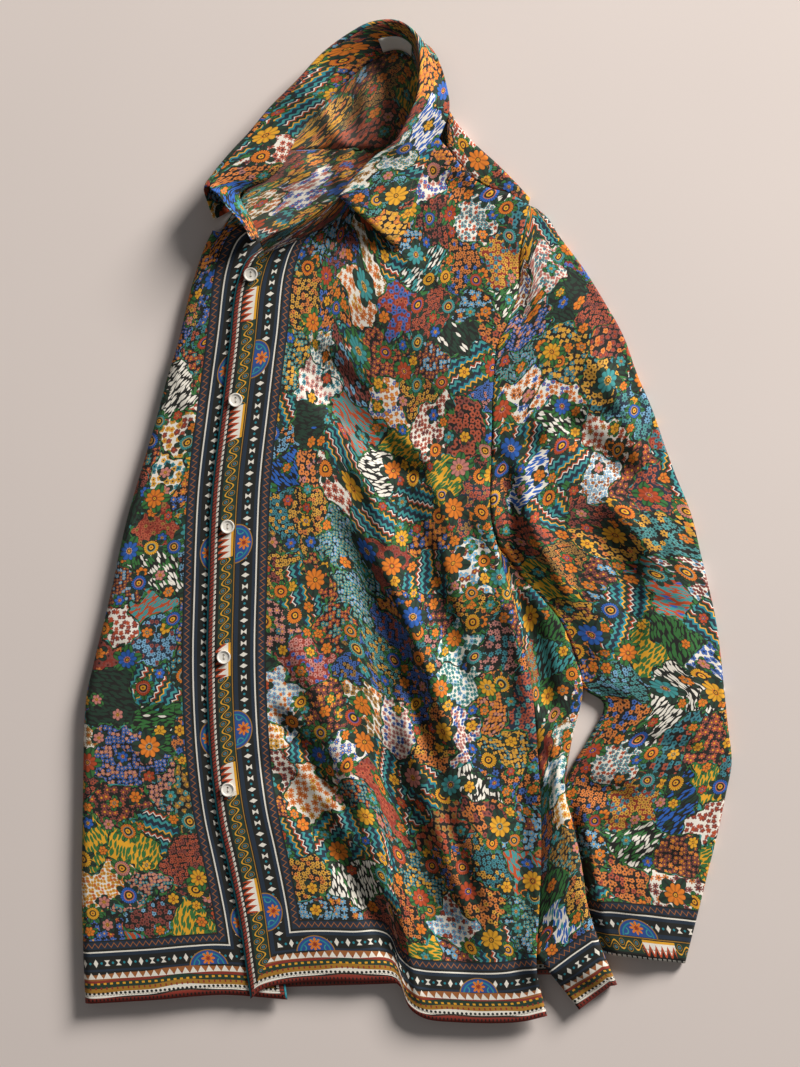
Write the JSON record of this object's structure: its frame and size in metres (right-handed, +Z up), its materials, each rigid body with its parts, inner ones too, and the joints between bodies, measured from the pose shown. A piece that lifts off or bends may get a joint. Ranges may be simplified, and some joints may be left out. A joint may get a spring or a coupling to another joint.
{
  "type": "button-up shirt",
  "caption": "Long-sleeved button-up shirt in patterned cotton with striped borders, laid flat and face up with its right side folded behind it.",
  "frame": {"origin": "middle of the underside of the whole shirt as it lies, on the table", "axes": "+Y from the hem to the collar, +X towards the left sleeve, +Z up from the table"},
  "size_m": [0.5322, 0.816, 0.044],
  "materials": {
    "cloth": "matt printed cotton",
    "label": "plain woven tape",
    "button": "polished pearl"
  },
  "bodies": {
    "root": {"left_front": "cloth", "right_front": "cloth", "back": "cloth", "yoke": "cloth", "left_sleeve": "cloth", "folded_right_side": "cloth", "collar_stand": "cloth", "collar_leaf": "cloth", "neck_label": "label", "button_1": "button", "button_2": "button", "button_3": "button", "button_4": "button", "button_5": "button"}
  },
  "joints": []
}
